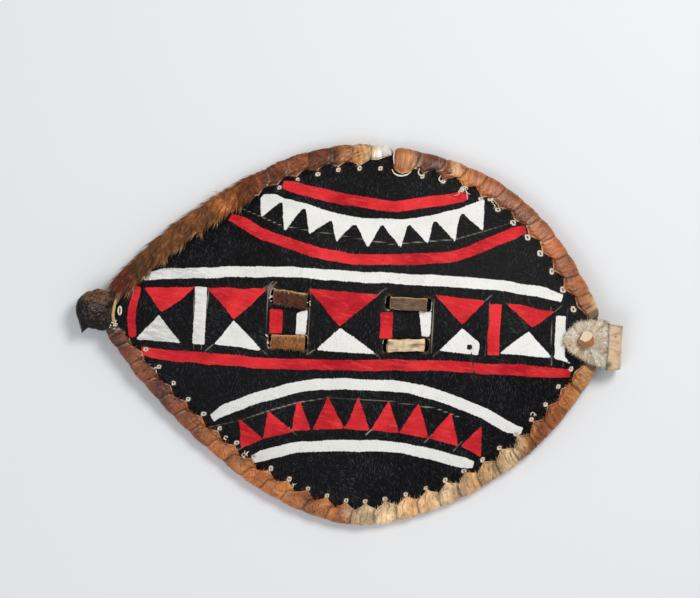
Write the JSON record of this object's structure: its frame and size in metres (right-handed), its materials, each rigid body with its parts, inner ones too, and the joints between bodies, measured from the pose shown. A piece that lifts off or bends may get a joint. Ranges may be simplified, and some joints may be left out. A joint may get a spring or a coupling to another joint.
{
  "type": "hide shield",
  "caption": "Small pointed-oval hide shield: domed painted hair-on panel with a whipped hide edge, tied to a wooden stick, with a fur cap and a pegged hide patch at the tips.",
  "frame": {"origin": "on the ground, under the middle of the shield as it lies on its back", "axes": "+X along the shield towards the pegged patch, +Y towards the edge made of two strips, +Z out of the painted face"},
  "size_m": [0.5966, 0.418, 0.0654],
  "materials": {
    "black_hide": "short black hair with red and white paint",
    "brown_hide": "short brown hair",
    "thong_hide": "worn hair-on thong",
    "dark_fur": "dense dark fur",
    "pale_hide": "grey-cream hair",
    "sinew": "dry twisted cord",
    "wood": "whittled, unvarnished"
  },
  "bodies": {
    "root": {"hide_panel": "black_hide", "binding_upper_left": "brown_hide", "binding_upper_right": "brown_hide", "binding_lower": "brown_hide", "stick_tie_left": "thong_hide", "stick_tie_right": "thong_hide", "back_stick": "wood", "tip_peg": "wood", "cap_lashing": "sinew", "tip_cap": "dark_fur", "tip_patch": "pale_hide"}
  },
  "joints": []
}
